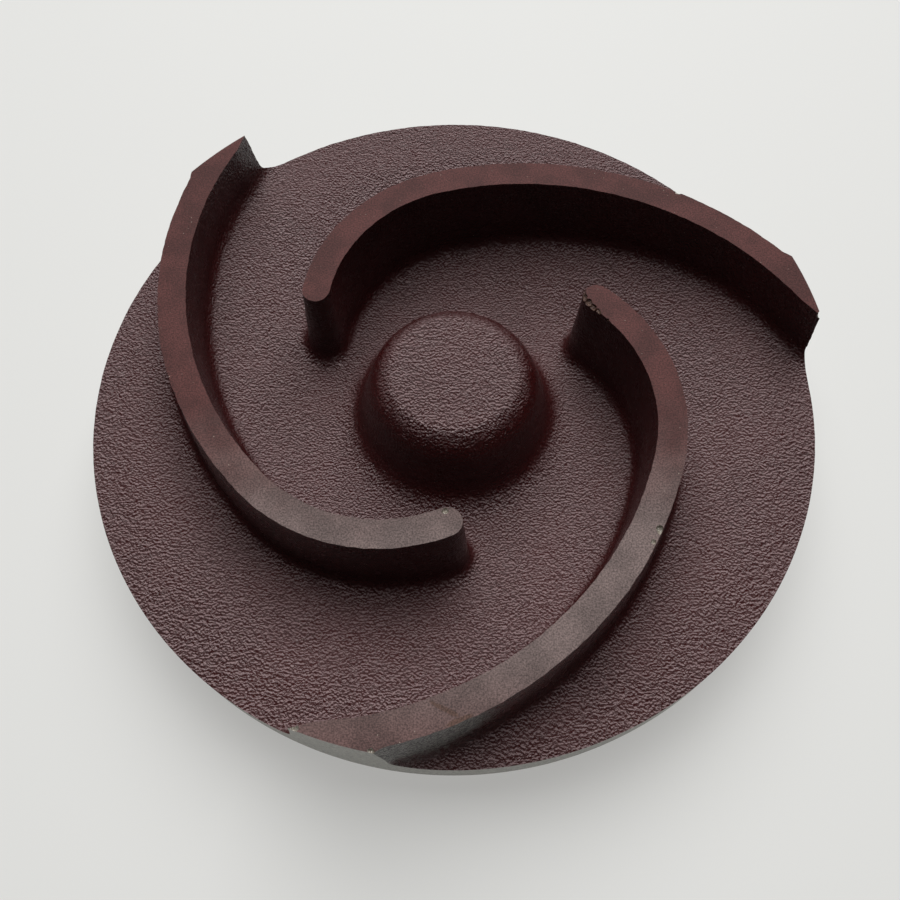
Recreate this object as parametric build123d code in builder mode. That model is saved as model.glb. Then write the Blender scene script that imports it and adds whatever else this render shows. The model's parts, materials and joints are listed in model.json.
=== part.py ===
"""Three-vane semi-open pump impeller, cast in one piece.

A round back plate, dished towards the middle, carries three curved vanes and a
closed boss on its front.  A turned hub with a blind threaded bore stands on its
rear.  The steps follow the making of the part: the drafted vanes join the rough
plate, their roots are filleted, and then the rim, the rear, the hub and the bore
are machined.

Millimetres and degrees.  +Z is the shaft axis and points to the suction side.
The origin is the centre of the hub's rear face, on which the impeller rests.
"""

import os
from math import cos, radians, sin, tan

from build123d import *

# Back plate
outside_diameter = 140.0
rim_thickness = 7.5
land_width = 10.0  # flat ring round the front of the rim
dish_floor_width = 10.5  # from the boss's foot to the dish's slope
dish_depth = 7.0  # from the land down to the dish's floor
dish_blend = 30.0  # radius that rounds both ends of the dish's slope
web_thickness = 6.0  # of the plate inside the rim, measured along the axis

# Front boss, closed over the end of the shaft
boss_height = 10.0  # above the land
boss_top_radius = 12.0
boss_bevel_width = 3.5  # of the cone between the flat top and the flank
boss_bevel_angle = 30.0  # below the flat top
boss_flank_angle = 15.0  # from the axis
boss_shoulder = 9.0
boss_root = 6.0

# Vanes, each drawn along its centreline and drafted from its ground top
vane_count = 3
vane_height = 13.0  # above the land
vane_thickness = 5.2  # at the top
vane_draft = 4.0
vane_root = 3.0
vane_wrap = 135.6  # angle round the axis from the inner end to the rim
inlet_radius = 31.0  # from the axis to the centre of the rounded inner end
inlet_bearing = 148.0  # direction of the first vane's inner end
inlet_angle = 23.5  # between the vane and the circle through its inner end
inlet_arc_radius = 31.6
inlet_arc_size = 66.5
vane_run_out = 20.0  # length cast past the rim and turned away

# Rear hub with its blind bore, at the tapping size of a 3/4-16 UNF thread
hub_diameter = 38.0
hub_standoff = 12.5  # from the rest face to the rear of the rim
hub_chamfer = 1.0
bore_diameter = 17.5
bore_depth = 20.0
bore_countersink = 1.2
drill_point_angle = 118.0

# Levels above the rest face
land_z = hub_standoff + rim_thickness
dish_z = land_z - dish_depth
boss_z = land_z + boss_height
vane_z = land_z + vane_height

# Sharp corners of the boss and the dish, before they are rounded
boss_radius = boss_top_radius + boss_bevel_width
boss_bevel_z = boss_z - boss_bevel_width * tan(radians(boss_bevel_angle))
boss_foot_radius = boss_radius + (boss_bevel_z - dish_z) * tan(radians(boss_flank_angle))
dish_floor_radius = boss_foot_radius + dish_floor_width

outside_radius = outside_diameter / 2
land_radius = outside_radius - land_width
hub_radius = hub_diameter / 2
bore_radius = bore_diameter / 2

# One vane: its section at the rest face is wider than its top by the draft
foot_half_thickness = vane_thickness / 2 + vane_z * tan(radians(vane_draft))
inlet_heading = radians(inlet_bearing - 90 + inlet_angle)
outlet_bearing = radians(inlet_bearing - vane_wrap)
inlet_point = Vector(inlet_radius, 0).rotate(Axis.Z, inlet_bearing)
outlet_point = Vector(outside_radius * cos(outlet_bearing), outside_radius * sin(outlet_bearing))

with BuildPart() as vane:
    with BuildSketch(Plane.XY):
        with BuildLine():
            inlet = JernArc(
                start=inlet_point,
                tangent=(cos(inlet_heading), sin(inlet_heading)),
                radius=inlet_arc_radius,
                arc_size=-inlet_arc_size,
            )
            outlet = TangentArc(inlet @ 1, outlet_point, tangent=inlet % 1)
            run_out = Line(outlet @ 1, outlet @ 1 + (outlet % 1) * vane_run_out)
            offset(amount=foot_half_thickness)
        make_face()
    extrude(amount=vane_z, taper=vane_draft)
blank_radius = (run_out @ 1).length + 2 * foot_half_thickness

with BuildPart() as impeller:
    # Rough plate and boss, solid down to the rest face
    with BuildSketch(Plane.XZ):
        with BuildLine():
            top = Line((0, boss_z), (boss_top_radius, boss_z))
            front = FilletPolyline(
                top @ 1,
                (boss_radius, boss_bevel_z),
                (boss_foot_radius, dish_z),
                (dish_floor_radius, dish_z),
                (land_radius, land_z),
                (blank_radius, land_z),
                radius=(boss_shoulder, boss_root, dish_blend, dish_blend),
            )
            Polyline(front @ 1, (blank_radius, 0), (0, 0), top @ 0)
        make_face()
    revolve(axis=Axis.Z)

    # Vanes, with their roots rounded into the plate
    with PolarLocations(0, vane_count):
        add(vane.part)
    fillet(impeller.edges(Select.NEW), radius=vane_root)

    # Rim turned to size, through the vanes' outer ends
    Cylinder(
        radius=outside_radius,
        height=vane_z,
        align=(Align.CENTER, Align.CENTER, Align.MIN),
        mode=Mode.INTERSECT,
    )

    # Rear turned: the web follows the dish at an even thickness, round the hub
    web_z = dish_z - web_thickness
    dish_slope = dish_depth / (land_radius - dish_floor_radius)
    web_edge_radius = dish_floor_radius + (hub_standoff - web_z) / dish_slope
    with BuildSketch(Plane.XZ):
        with BuildLine():
            Polyline(
                (hub_radius, 0),
                (hub_radius, web_z),
                (dish_floor_radius, web_z),
                (web_edge_radius, hub_standoff),
                (outside_radius, hub_standoff),
                (outside_radius, 0),
                close=True,
            )
        make_face()
    revolve(axis=Axis.Z, mode=Mode.SUBTRACT)

    # Blind bore, with the drill's point at its end and a countersunk mouth
    drill_point = bore_radius / tan(radians(drill_point_angle / 2))
    with BuildSketch(Plane.XZ):
        with BuildLine():
            Polyline(
                (0, 0),
                (bore_radius + bore_countersink, 0),
                (bore_radius, bore_countersink),
                (bore_radius, bore_depth),
                (0, bore_depth + drill_point),
                close=True,
            )
        make_face()
    revolve(axis=Axis.Z, mode=Mode.SUBTRACT)

    hub_edge = impeller.edges().filter_by(GeomType.CIRCLE).group_by(Axis.Z)[0].sort_by(SortBy.RADIUS)[-1]
    chamfer(hub_edge, length=hub_chamfer)

impeller.part.label = "impeller"
os.makedirs("parts", exist_ok=True)
export_step(impeller.part, "parts/impeller.step")
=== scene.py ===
"""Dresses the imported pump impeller: its casting, its finish, and a small studio round it."""

import json
from math import cos, pi, radians, sin, tan

import bmesh
import bpy
from mathutils import Matrix, Vector

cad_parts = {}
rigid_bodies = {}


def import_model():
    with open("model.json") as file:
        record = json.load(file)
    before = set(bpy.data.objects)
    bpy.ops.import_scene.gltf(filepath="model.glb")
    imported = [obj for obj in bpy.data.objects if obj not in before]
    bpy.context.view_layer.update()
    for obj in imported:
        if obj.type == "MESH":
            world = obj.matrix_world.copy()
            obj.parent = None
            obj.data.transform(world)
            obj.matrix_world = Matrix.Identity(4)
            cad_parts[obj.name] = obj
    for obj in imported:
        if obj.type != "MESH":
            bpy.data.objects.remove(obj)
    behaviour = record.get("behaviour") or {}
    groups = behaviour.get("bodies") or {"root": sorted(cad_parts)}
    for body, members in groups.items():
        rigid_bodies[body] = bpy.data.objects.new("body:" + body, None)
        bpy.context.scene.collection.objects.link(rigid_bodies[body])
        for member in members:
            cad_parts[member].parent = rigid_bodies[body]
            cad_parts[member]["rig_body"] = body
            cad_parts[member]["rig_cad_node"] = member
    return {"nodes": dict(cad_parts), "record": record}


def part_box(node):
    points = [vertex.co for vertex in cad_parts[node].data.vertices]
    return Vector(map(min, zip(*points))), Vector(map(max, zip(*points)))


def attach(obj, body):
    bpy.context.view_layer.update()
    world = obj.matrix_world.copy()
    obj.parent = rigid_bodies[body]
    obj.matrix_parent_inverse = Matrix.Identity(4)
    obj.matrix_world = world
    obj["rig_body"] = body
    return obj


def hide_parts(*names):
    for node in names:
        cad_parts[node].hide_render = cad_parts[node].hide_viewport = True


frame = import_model()
cad_low, cad_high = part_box("impeller")
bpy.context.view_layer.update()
outside_radius = (cad_high.x - cad_low.x) / 2
vane_z = cad_high.z
mm = 0.001

# The hub and its bore, of which the frame gives the tapping size and the depth
shaft_thread = next(mount for mount in frame["record"]["mounts"] if mount["name"] == "shaft_thread")
hub_radius = 19 * mm
hub_chamfer = 1 * mm
bore_radius = shaft_thread["dims"]["r_mm"] * mm
bore_depth = shaft_thread["pos_m"][2] + shaft_thread["dims"]["length_mm"] * mm / 2
bore_countersink = 1.2 * mm
drill_point_angle = radians(118)
bore_end = bore_depth + bore_radius / tan(drill_point_angle / 2)

# The 3/4-16 thread, whose tool starts a little inside the bore's wall
thread_radius = 19.05 / 2 * mm
thread_pitch = 25.4 / 16 * mm
thread_half_angle = radians(30)
thread_inset = 0.15 * mm

# The casting's mesh: metal left on where it is machined, and larger faces at the rear
stock = 1 * mm
voxel_size = 0.68 * mm
rear_height = 12.8 * mm
rear_ratio = 0.72
touching = 0.01 * mm
same_place = 1e-7
smooth_angle = radians(35)

# Unevenness of the cast skin: texture, pitch and height
SKIN = (
    ("skin_unevenness", 5 * mm, 0.15 * mm),
    ("skin_grain", 1.3 * mm, 0.22 * mm),
)

# Chips along the vanes' edges: x, y, depth of the middle below the tops, and half sizes, in mm
CHIPS = (
    (35.0, -32.7, 0.1, (0.7, 0.9, 0.7)),
    (33.7, -34.9, 0.0, (0.4, 0.5, 0.4)),
    (-25.0, -65.1, 0.1, (0.8, 0.7, 1.0)),
    (-12.9, -68.6, 0.0, (0.6, 0.5, 0.5)),
    (69.3, 10.3, 0.2, (0.5, 0.6, 0.8)),
    (45.5, 39.4, 0.0, (0.8, 0.5, 0.4)),
    (24.7, 15.7, 0.1, (0.6, 0.8, 0.5)),
    (25.0, 14.4, 0.1, (0.6, 0.9, 0.6)),
    (25.7, 13.2, 0.1, (0.7, 0.9, 0.5)),
    (26.5, 12.1, 0.1, (0.7, 0.8, 0.5)),
    (27.3, 11.0, 0.0, (0.6, 0.8, 0.4)),
    (29.0, 9.0, 0.1, (0.4, 0.7, 0.4)),
    (30.9, 5.7, 0.2, (0.6, 1.0, 0.7)),
    (-1.5, -29.1, 0.1, (0.6, 0.5, 0.5)),
)

# Marks on the surface: middle and half sizes in mm, turn in degrees, and raggedness
WORN_PATCH = ((-6, -66.5, 29), (16, 5, 9), 15, 0.8)
RUST_STREAKS = (
    ((-1.3, -62.4, vane_z / mm), (3.3, 0.5, 2), -27, 0.9),
    ((0.8, -64.0, vane_z / mm), (3, 0.55, 2), 22, 0.9),
)
BROWNED_CHIPS = ((26.5, 12.5, vane_z / mm), (8, 8, 4), 0, 0.5)

bl_info = {
    "name": "Pump impeller",
    "version": (1, 0, 0),
    "blender": (4, 5, 0),
    "location": "3D View > Sidebar > Impeller",
    "description": "Models and finishes a cast pump impeller round its CAD frame",
    "category": "Object",
}


# Settings

class ImpellerFinish(bpy.types.PropertyGroup):
    coat_color: bpy.props.FloatVectorProperty(
        name="Coat", description="Colour of the baked coat", subtype="COLOR",
        default=(0.055, 0.007, 0.007))
    # Painted highlight: the colour given to the side of each grain that faces the light, in place of its
    # sheen
    painted_grain_highlight: bpy.props.FloatVectorProperty(
        name="Rubbed grain", description="Colour of the rubbed side of each grain", subtype="COLOR",
        default=(0.27, 0.18, 0.182))
    ground_color: bpy.props.FloatVectorProperty(
        name="Vane tops", description="Colour of the ground and coated vane tops", subtype="COLOR",
        default=(0.097, 0.033, 0.03))
    # Paler, greyer colour that the vane tops take on towards -Y
    greyer_tops_color: bpy.props.FloatVectorProperty(
        name="Rubbed tops", description="Colour of the vane tops where their coat is rubbed",
        subtype="COLOR", default=(0.185, 0.136, 0.127))
    iron_color: bpy.props.FloatVectorProperty(
        name="Bare iron", description="Colour of turned iron", subtype="COLOR",
        default=(0.36, 0.35, 0.32))
    dust_color: bpy.props.FloatVectorProperty(
        name="Dust", description="Colour of the dust on the skin", subtype="COLOR",
        default=(0.22, 0.18, 0.15))
    grain_size: bpy.props.FloatProperty(
        name="Grain", description="Pitch of the sand-cast skin's grain", unit="LENGTH",
        default=0.52 * mm)
    grain_depth: bpy.props.FloatProperty(
        name="Grain depth", description="Height of the skin's grain", unit="LENGTH",
        default=0.5 * mm)
    turned_wave: bpy.props.FloatProperty(
        name="Turned wave", description="Pitch of the waves that turning left", unit="LENGTH",
        default=0.6 * pi * mm)


class ImpellerStage(bpy.types.PropertyGroup):
    lens: bpy.props.FloatProperty(
        name="Lens", description="Focal length of the camera", default=38.21, unit="CAMERA")
    distance: bpy.props.FloatProperty(
        name="Distance", description="From the camera to the point it looks at", unit="LENGTH",
        default=0.18273)
    elevation: bpy.props.FloatProperty(
        name="Elevation", description="Of the camera above the floor", subtype="ANGLE",
        default=radians(65.05))
    roll: bpy.props.FloatProperty(
        name="Roll", description="Of the camera about its line of sight", subtype="ANGLE",
        default=radians(-0.329))
    target: bpy.props.FloatVectorProperty(
        name="Target", description="Point the camera looks at", unit="LENGTH",
        default=(0.00097, -0.01153, 0.020))
    shift: bpy.props.FloatProperty(
        name="Shift", description="Sideways shift of the lens, in frame widths", default=-0.0102)
    light_power: bpy.props.FloatProperty(
        name="Light", description="Power of the soft light above and behind", unit="POWER",
        default=32.0)
    light_size: bpy.props.FloatVectorProperty(
        name="Light size", description="Width and height of the soft light", unit="LENGTH", size=2,
        default=(1.5, 1.8))
    light_place: bpy.props.FloatVectorProperty(
        name="Light place", description="Middle of the soft light", unit="LENGTH",
        default=(0.05, 0.8, 1.386))
    floor_glow: bpy.props.FloatProperty(
        name="Floor glow", description="Strength of the light that the floor gives", default=0.385)
    sky: bpy.props.FloatProperty(
        name="Sky", description="Strength of the even light from all round", default=0.03)


# Node helpers

class Shader:
    """A material's node tree, with short ways to add and join nodes."""

    def __init__(self, name):
        self.material = bpy.data.materials.new(name)
        self.material.use_nodes = True
        self.tree = self.material.node_tree
        self.tree.nodes.clear()
        self.output = self.tree.nodes.new("ShaderNodeOutputMaterial")
        self.position = self.tree.nodes.new("ShaderNodeTexCoord").outputs["Object"]

    def put(self, value, socket):
        """Links an output to a socket, or sets the socket's own value."""
        if isinstance(value, bpy.types.NodeSocket):
            self.tree.links.new(value, socket)
        else:
            socket.default_value = value

    def add(self, kind, out=0, props=None, **inputs):
        """Adds a node with its settings and inputs, and returns one of its outputs."""
        node = self.tree.nodes.new(kind)
        for key, value in (props or {}).items():
            setattr(node, key, value)
        for key, value in inputs.items():
            self.put(value, node.inputs[key.replace("_", " ")])
        return node.outputs[out]

    def math(self, operation, a, b=0.0, c=0.0):
        """Calculates with two or three values."""
        node = self.tree.nodes.new("ShaderNodeMath")
        node.operation = operation
        for value, socket in zip((a, b, c), node.inputs):
            self.put(value, socket)
        return node.outputs[0]

    def noise(self, size, detail=2.0, roughness=0.5, vector=None):
        """Noise of a size, round 0.5."""
        return self.add("ShaderNodeTexNoise", Vector=vector or self.position,
                        Scale=1 / size, Detail=detail, Roughness=roughness)

    def ramp(self, value, low, high, to_low=0.0, to_high=1.0):
        """Eases a value from one range to another."""
        node = self.tree.nodes.new("ShaderNodeMapRange")
        node.interpolation_type = "SMOOTHSTEP"
        for key, item in zip(("Value", "From Min", "From Max", "To Min", "To Max"),
                             (value, low, high, to_low, to_high)):
            self.put(item, node.inputs[key])
        return node.outputs[0]

    def patch(self, centre, size, turn, ragged):
        """1 in the middle of an ellipsoid and 0 outside it, with a ragged edge."""
        inside = self.add("ShaderNodeMapping", 0, {"vector_type": "TEXTURE"}, Vector=self.position,
                          Location=Vector(centre) * mm, Rotation=(0.0, 0.0, radians(turn)),
                          Scale=Vector(size) * mm)
        distance = self.add("ShaderNodeVectorMath", 1, {"operation": "LENGTH"}, Vector=inside)
        ragged_distance = self.math("MULTIPLY_ADD", self.noise(1.2 * mm, 3.0, 0.6), ragged, distance)
        return self.ramp(ragged_distance, 0.6 + ragged / 2, 1.0 + ragged / 2, 1.0, 0.0)

    def mix(self, factor, a, b):
        """Mixes two colours."""
        node = self.tree.nodes.new("ShaderNodeMix")
        node.data_type = "RGBA"
        self.put(factor, node.inputs["Factor"])
        for color, socket in ((a, node.inputs[6]), (b, node.inputs[7])):
            self.put(color if isinstance(color, bpy.types.NodeSocket) else (*color, 1.0), socket)
        return node.outputs[2]

    def bump(self, height, distance):
        """Normals that follow a height of 0 to 1, over a distance."""
        return self.add("ShaderNodeBump", Height=height, Distance=distance, Strength=1.0)

    def finish(self, **inputs):
        """Ends the material in a principled shader."""
        self.put(self.add("ShaderNodeBsdfPrincipled", **inputs), self.output.inputs["Surface"])
        return self.material


def scaled(color, factor):
    """A colour made darker or lighter."""
    return [part * factor for part in color]


def casting_material(finish):
    """The sand-cast skin under its glossy baked coat, with a painted highlight on one side of each grain."""
    s = Shader("baked_coat")
    place = s.add("ShaderNodeMapping", Vector=s.position, Scale=(1.12, 1.26, 1.0))
    leather = s.noise(finish.grain_size, 1.5, 0.45, place)
    sand = s.noise(finish.grain_size * 0.4, 2.0, 0.5, place)
    height = s.math("MULTIPLY_ADD", sand, 0.3, leather)
    patchy = s.ramp(s.noise(14 * mm, 3.0, 0.55), 0.35, 0.65)
    color = s.mix(patchy, finish.coat_color, scaled(finish.coat_color, 0.8))
    # Painted highlight: on the level parts the side of each grain that faces the light at +Y is painted paler
    beside = s.add("ShaderNodeMapping", Vector=place, Location=(0.0, 0.35 * finish.grain_size, 0.0))
    relief = s.math("SUBTRACT", leather, s.noise(finish.grain_size, 1.5, 0.45, beside))
    level = s.add("ShaderNodeSeparateXYZ", 2, Vector=s.add("ShaderNodeNewGeometry", 1))
    paled = s.math("MULTIPLY", s.ramp(relief, -0.02, 0.1), s.ramp(level, 0.6, 0.95))
    color = s.mix(paled, color, finish.painted_grain_highlight)
    # Pale dust in a few pores
    dust = s.ramp(s.noise(0.5 * mm, 1.0, 0.5), 0.735, 0.775, 0.0, 0.6)
    color = s.mix(dust, color, finish.dust_color)
    # The coat is worn off to grey iron beside the outer end of one vane
    worn = s.math("MULTIPLY", s.patch(*WORN_PATCH), 0.8)
    grit = s.ramp(s.noise(0.42 * mm, 2.0, 0.7), 0.46, 0.57)
    color = s.mix(worn, color, s.mix(grit, (0.012, 0.01, 0.009), (0.24, 0.23, 0.21)))
    roughness = s.ramp(s.noise(5 * mm, 3.0, 0.6), 0.3, 0.7, 0.22, 0.3)
    roughness = s.math("MULTIPLY_ADD", worn, 0.3, roughness)
    return s.finish(Base_Color=color, Roughness=roughness, Specular_IOR_Level=0.5,
                    Normal=s.bump(height, finish.grain_depth))


def ground_material(finish):
    """The vane tops, ground flat and then coated."""
    s = Shader("ground_coat")
    mottle = s.ramp(s.noise(7 * mm, 4.0, 0.6), 0.35, 0.65, 0.8, 1.15)
    speckle = s.ramp(s.noise(0.3 * mm, 2.0, 0.5), 0.3, 0.7, 0.6, 1.4)
    # Towards -Y the tops turn paler and greyer, though less so at the very rim
    y = s.add("ShaderNodeSeparateXYZ", 1, Vector=s.position)
    uneven_y = s.math("MULTIPLY_ADD", s.noise(9 * mm, 3.0, 0.6), -18 * mm, y)
    paled = s.math("MULTIPLY", s.ramp(uneven_y, -16 * mm, -46 * mm), s.ramp(y, -70 * mm, -52 * mm, 0.4, 1.0))
    color = s.mix(paled, finish.ground_color, finish.greyer_tops_color)
    rust = s.math("MAXIMUM", *(s.patch(*streak) for streak in RUST_STREAKS))
    color = s.mix(s.math("MULTIPLY", rust, 0.6), color, (0.1, 0.05, 0.03))
    color = s.add("ShaderNodeVectorMath", 0, {"operation": "SCALE"}, Vector=color,
                  Scale=s.math("MULTIPLY", mottle, speckle))
    dust = s.ramp(s.noise(0.55 * mm, 1.0, 0.5), 0.755, 0.79, 0.0, 0.8)
    color = s.mix(dust, color, scaled(finish.dust_color, 2))
    return s.finish(Base_Color=color, Roughness=0.6, Specular_IOR_Level=0.2,
                    Normal=s.bump(s.noise(0.35 * mm, 2.5, 0.6), 0.06 * mm))


def turned_material(finish):
    """Bare iron as turned, with faint waves round the axis."""
    s = Shader("turned_iron")
    waves = s.add("ShaderNodeTexWave", 0, {"wave_type": "BANDS", "bands_direction": "Z"}, Vector=s.position,
                  Scale=pi / (10 * finish.turned_wave), Distortion=0.4, Detail=2.0)
    height = s.math("MULTIPLY_ADD", waves, 0.25, s.noise(0.35 * mm, 2.5, 0.6))
    speckle = s.ramp(s.noise(0.5 * mm, 3.0, 0.65), 0.3, 0.7)
    color = s.mix(speckle, scaled(finish.iron_color, 0.45), finish.iron_color)
    return s.finish(Base_Color=color, Metallic=1.0, Roughness=0.5, Normal=s.bump(height, 0.05 * mm))


def break_material():
    """Crystalline iron where the edges are chipped, bright but for the browned chips."""
    s = Shader("fresh_break")
    facets = s.add("ShaderNodeTexVoronoi", Vector=s.position, Scale=1 / (0.3 * mm))
    bright = s.mix(s.ramp(facets, 0.1, 0.6), (0.62, 0.59, 0.53), (0.3, 0.26, 0.21))
    brown = s.mix(s.ramp(facets, 0.2, 0.5), (0.2, 0.12, 0.08), (0.06, 0.025, 0.018))
    return s.finish(Base_Color=s.mix(s.patch(*BROWNED_CHIPS), bright, brown), Metallic=0.2, Roughness=0.45,
                    Normal=s.bump(facets, 0.1 * mm))


def floor_material(stage):
    """A plain pale floor that gives a little light of its own."""
    s = Shader("pale_floor")
    tint = s.mix(s.noise(0.2, 2.0), (0.40, 0.40, 0.39), (0.415, 0.415, 0.405))
    return s.finish(Base_Color=tint, Roughness=0.6, Emission_Color=(1.0, 1.0, 0.97, 1.0),
                    Emission_Strength=stage.floor_glow)


# Modelling helpers

def deselect():
    bpy.ops.object.select_all(action="DESELECT")


def select(item):
    """Makes one object the selected and active one."""
    deselect()
    item.select_set(True)
    bpy.context.view_layer.objects.active = item


def apply_modifier(item, kind, **settings):
    """Adds a modifier with its settings and applies it."""
    select(item)
    modifier = item.modifiers.new(kind.lower(), kind)
    for key, value in settings.items():
        setattr(modifier, key, value)
    bpy.ops.object.modifier_apply(modifier=modifier.name)


def select_faces(item, wanted):
    """Selects, in edit mode, the faces whose middle the test accepts."""
    bpy.ops.mesh.select_mode(type="FACE")
    bpy.ops.mesh.select_all(action="DESELECT")
    mesh = bmesh.from_edit_mesh(item.data)
    for face in mesh.faces:
        face.select_set(wanted(face.calc_center_median()))
    bmesh.update_edit_mesh(item.data)


def cut(item, tool, operation="DIFFERENCE"):
    """Cuts with a tool, whose material stays on the faces that it cuts, and deletes the tool."""
    apply_modifier(item, "BOOLEAN", object=tool, operation=operation, solver="MANIFOLD",
                   material_mode="TRANSFER")
    bpy.data.objects.remove(tool)


def lathe(name, profile, steps, pitch=0.0, turns=1):
    """Turns a profile of (radius, height) points round the axis, or screws it up by a pitch."""
    deselect()
    bpy.ops.mesh.primitive_plane_add()
    item = bpy.context.object
    item.name = name
    bpy.ops.object.mode_set(mode="EDIT")
    bpy.ops.mesh.select_mode(type="VERT")
    bpy.ops.mesh.select_all(action="SELECT")
    bpy.ops.mesh.merge(type="CENTER")
    bpy.ops.transform.translate(value=(profile[0][0], 0, profile[0][1]))
    for (r0, z0), (r1, z1) in zip(profile, profile[1:]):
        bpy.ops.mesh.extrude_vertices_move(TRANSFORM_OT_translate={"value": (r1 - r0, 0, z1 - z0)})
    bpy.ops.object.mode_set(mode="OBJECT")
    apply_modifier(item, "SCREW", angle=2 * pi, steps=steps, render_steps=steps, screw_offset=pitch,
                   iterations=turns)
    bpy.ops.object.mode_set(mode="EDIT")
    bpy.ops.mesh.select_all(action="SELECT")
    bpy.ops.mesh.remove_doubles(threshold=0.001 * mm)
    bpy.ops.mesh.normals_make_consistent(inside=False)
    bpy.ops.object.mode_set(mode="OBJECT")
    return item


def trim(item, low, high):
    """Keeps what lies between two heights, and closes the ends."""
    select(item)
    bpy.ops.object.mode_set(mode="EDIT")
    for z, end in ((low, "clear_inner"), (high, "clear_outer")):
        bpy.ops.mesh.select_all(action="SELECT")
        bpy.ops.mesh.bisect(plane_co=(0, 0, z), plane_no=(0, 0, 1), use_fill=True, **{end: True})
    bpy.ops.mesh.select_all(action="SELECT")
    bpy.ops.mesh.normals_make_consistent(inside=False)
    bpy.ops.object.mode_set(mode="OBJECT")


def place_in_mesh(item):
    """Moves an object's place into its mesh, so that the object sits at the origin."""
    select(item)
    bpy.ops.object.transform_apply(location=True, rotation=True, scale=True)


def radius_of(point):
    """How far a point lies from the axis."""
    return (point.x ** 2 + point.y ** 2) ** 0.5


def aim(item, place, target):
    """Puts a light or camera in place, looking at target, with its top up."""
    turn = (target - place).to_track_quat("-Z", "Y").to_matrix().to_4x4()
    item.matrix_world = Matrix.Translation(place) @ turn


# The steps

class IMPELLER_OT_casting(bpy.types.Operator):
    """Casts the rough body: the frame's form with some metal left on where it is machined"""
    bl_idname = "impeller.casting"
    bl_label = "Casting"

    def execute(self, context):
        finish = context.scene.impeller_finish
        select(frame["nodes"]["impeller"])
        bpy.ops.object.duplicate()
        body = context.object
        bpy.ops.object.parent_clear(type="CLEAR_KEEP_TRANSFORM")
        body.name = "impeller_casting"
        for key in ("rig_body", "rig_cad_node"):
            del body[key]
        body.data.materials.clear()
        body.data.materials.append(casting_material(finish))
        bpy.ops.mesh.customdata_custom_splitnormals_clear()
        bpy.ops.object.mode_set(mode="EDIT")
        bpy.ops.mesh.select_all(action="SELECT")
        bpy.ops.mesh.remove_doubles(threshold=same_place)
        # The bore isn't cast: its faces go, and its mouth is closed
        mouth_radius = bore_radius + bore_countersink + touching
        select_faces(body, lambda centre: radius_of(centre) < mouth_radius and centre.z < bore_end)
        bpy.ops.mesh.delete(type="FACE")
        bpy.ops.mesh.select_mode(type="EDGE")
        bpy.ops.mesh.select_non_manifold()
        bpy.ops.mesh.edge_face_add()
        bpy.ops.object.mode_set(mode="OBJECT")
        # Metal for machining, on the vane tops, the rim and the hub's face
        for vertex in body.data.vertices:
            if vertex.co.z > vane_z - touching:
                vertex.co.z += stock
            if vertex.co.z < touching:
                vertex.co.z -= stock
            radius = radius_of(vertex.co)
            if radius > outside_radius - 5 * touching:
                vertex.co.x *= 1 + stock / radius
                vertex.co.y *= 1 + stock / radius
        apply_modifier(body, "REMESH", mode="VOXEL", voxel_size=voxel_size)
        # The rear gets larger faces
        rear = body.vertex_groups.new(name="rear")
        rear.add([v.index for v in body.data.vertices if v.co.z < rear_height], 1.0, "REPLACE")
        apply_modifier(body, "DECIMATE", ratio=rear_ratio, vertex_group="rear")
        for name, size, depth in SKIN:
            pattern = bpy.data.textures.new(name, "CLOUDS")
            pattern.noise_scale = size
            pattern.noise_depth = 1
            apply_modifier(body, "DISPLACE", texture=pattern, texture_coords="LOCAL", strength=depth,
                           mid_level=0.5)
        return {"FINISHED"}


class IMPELLER_OT_machining(bpy.types.Operator):
    """Turns the rim, grinds the vane tops, faces the hub, and bores and taps it"""
    bl_idname = "impeller.machining"
    bl_label = "Machining"

    def execute(self, context):
        finish = context.scene.impeller_finish
        body = bpy.data.objects["impeller_casting"]
        turned = turned_material(finish)
        # One envelope faces the hub, turns the rim and grinds the vane tops
        clear = 2 * hub_chamfer
        envelope = lathe("envelope", (
            (0, 0), (hub_radius - hub_chamfer, 0), (hub_radius - hub_chamfer + clear, clear),
            (outside_radius, clear), (outside_radius, vane_z), (0, vane_z)), steps=480)
        envelope.data.materials.append(turned)
        envelope.data.materials.append(ground_material(finish))
        for face in envelope.data.polygons:
            ground = face.normal.z > 0.5 and face.center.z > vane_z / 2
            face.material_index = 1 if ground else 0
        cut(body, envelope, "INTERSECT")

        # The bore is drilled and countersunk, and then tapped
        drill = lathe("drill", (
            (0, -clear), (bore_radius + bore_countersink + clear, -clear), (bore_radius, bore_countersink),
            (bore_radius, bore_depth), (0, bore_end)), steps=96)
        drill.data.materials.append(turned)
        cut(body, drill)
        crest = bore_radius - thread_inset
        flank = (thread_radius - crest) * tan(thread_half_angle)
        tap = lathe("tap", (
            (crest, -2 * thread_pitch), (thread_radius, flank - 2 * thread_pitch),
            (thread_radius, -flank - thread_pitch), (crest, -thread_pitch)),
            steps=64, pitch=thread_pitch, turns=round(bore_depth / thread_pitch) + 2)
        trim(tap, -thread_pitch / 2, bore_depth - 2 * thread_pitch)
        tap.data.materials.append(turned)
        cut(body, tap)
        return {"FINISHED"}


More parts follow.
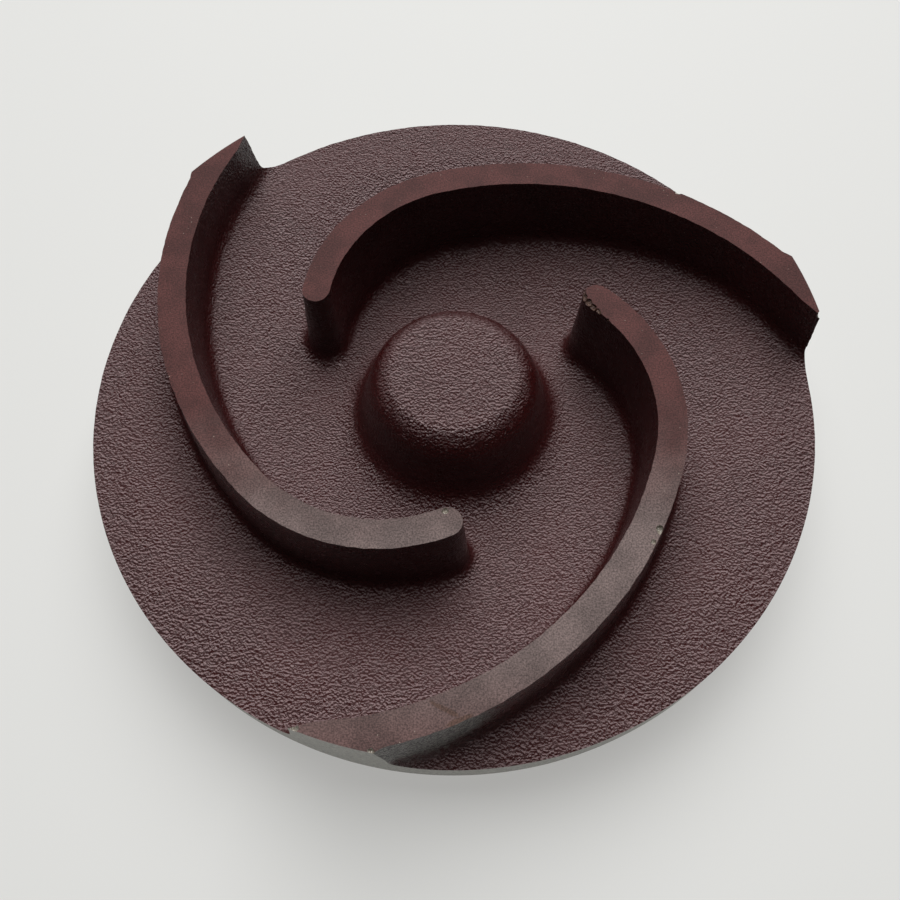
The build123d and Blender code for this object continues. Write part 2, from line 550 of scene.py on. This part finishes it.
class IMPELLER_OT_chipping(bpy.types.Operator):
    """Knocks small chips out of the vanes' edges"""
    bl_idname = "impeller.chipping"
    bl_label = "Chipping"

    def execute(self, context):
        body = bpy.data.objects["impeller_casting"]
        broken = break_material()
        roughness = bpy.data.textures.new("break_roughness", "CLOUDS")
        roughness.noise_scale = 0.5 * mm
        for x, y, drop, size in CHIPS:
            deselect()
            bpy.ops.mesh.primitive_ico_sphere_add(
                subdivisions=3, radius=1, location=(x * mm, y * mm, vane_z - drop * mm),
                scale=Vector(size) * mm)
            tool = context.object
            place_in_mesh(tool)
            tool.data.materials.append(broken)
            apply_modifier(tool, "DISPLACE", texture=roughness, texture_coords="LOCAL", strength=0.5 * mm,
                           mid_level=0.5)
            cut(body, tool)
        select(body)
        bpy.ops.object.shade_smooth_by_angle(angle=smooth_angle)
        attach(body, "root")
        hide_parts("impeller")
        return {"FINISHED"}


class IMPELLER_OT_stage(bpy.types.Operator):
    """Makes the floor, the soft light and the camera"""
    bl_idname = "impeller.stage"
    bl_label = "Stage"

    def execute(self, context):
        stage = context.scene.impeller_stage
        deselect()
        bpy.ops.mesh.primitive_plane_add(size=6.0)
        floor = context.object
        floor.name = "floor"
        floor.data.materials.append(floor_material(stage))

        world = bpy.data.worlds.new("studio")
        context.scene.world = world
        world.use_nodes = True
        back = world.node_tree.nodes["Background"]
        back.inputs["Color"].default_value = (1.0, 1.0, 1.0, 1.0)
        back.inputs["Strength"].default_value = stage.sky

        bpy.ops.object.light_add(type="AREA")
        light = context.object
        light.name = "soft_light"
        light.data.shape = "RECTANGLE"
        light.data.size, light.data.size_y = stage.light_size
        light.data.energy = stage.light_power
        aim(light, Vector(stage.light_place), Vector((0.0, 0.0, 0.0)))

        bpy.ops.object.camera_add()
        camera = context.object
        camera.name = "camera"
        target = Vector(stage.target)
        back_off = Vector((0.0, -cos(stage.elevation), sin(stage.elevation))) * stage.distance
        aim(camera, target + back_off, target)
        camera.matrix_world = camera.matrix_world @ Matrix.Rotation(stage.roll, 4, "Z")
        camera.data.lens = stage.lens
        camera.data.sensor_width = 36.0
        camera.data.shift_x = stage.shift
        camera.data.clip_start = 0.01
        context.scene.camera = camera
        context.scene.view_settings.view_transform = "Standard"
        return {"FINISHED"}


class IMPELLER_PT_panel(bpy.types.Panel):
    """The steps that dress the impeller"""
    bl_idname = "IMPELLER_PT_panel"
    bl_label = "Pump impeller"
    bl_space_type = "VIEW_3D"
    bl_region_type = "UI"
    bl_category = "Impeller"

    def draw(self, context):
        for group in (context.scene.impeller_finish, context.scene.impeller_stage):
            for key in group.__annotations__:
                self.layout.prop(group, key)
        for step in STEPS:
            self.layout.operator(step.bl_idname)


STEPS = (IMPELLER_OT_casting, IMPELLER_OT_machining, IMPELLER_OT_chipping, IMPELLER_OT_stage)
CLASSES = (ImpellerFinish, ImpellerStage, *STEPS, IMPELLER_PT_panel)


def register():
    for item in CLASSES:
        bpy.utils.register_class(item)
    bpy.types.Scene.impeller_finish = bpy.props.PointerProperty(type=ImpellerFinish)
    bpy.types.Scene.impeller_stage = bpy.props.PointerProperty(type=ImpellerStage)


def unregister():
    del bpy.types.Scene.impeller_finish
    del bpy.types.Scene.impeller_stage
    for item in reversed(CLASSES):
        bpy.utils.unregister_class(item)


def main():
    register()
    bpy.ops.impeller.casting()
    bpy.ops.impeller.machining()
    bpy.ops.impeller.chipping()
    bpy.ops.impeller.stage()


if __name__ == "__main__":
    main()
